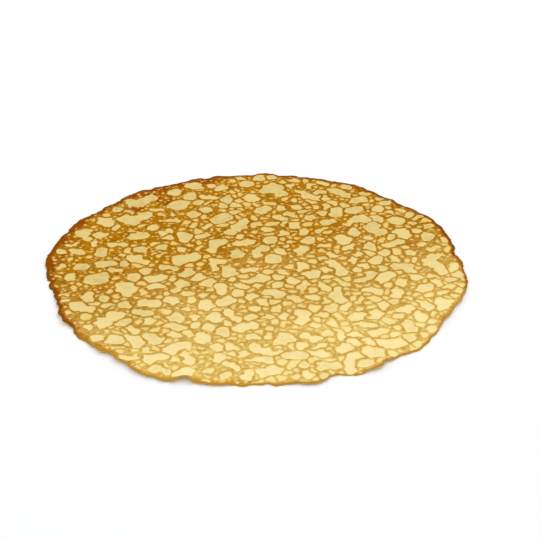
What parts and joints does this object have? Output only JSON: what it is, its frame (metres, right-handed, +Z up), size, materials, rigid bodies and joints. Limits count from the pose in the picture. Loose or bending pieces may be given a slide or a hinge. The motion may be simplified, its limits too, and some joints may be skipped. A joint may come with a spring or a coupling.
{
  "type": "crepe",
  "caption": "Flat, open, round crepe with a ragged thin rim and a browned lace pattern, lying on a surface.",
  "frame": {"origin": "middle of the crepe's bounding box, on the surface it lies on", "axes": "+Z up, through the sheet; +X to the right and +Y to the back as the picture shows it"},
  "size_m": [0.3036, 0.3022, 0.004],
  "materials": {
    "batter": "soft matt, slightly greasy"
  },
  "bodies": {
    "root": {"crepe": "batter"}
  },
  "joints": []
}
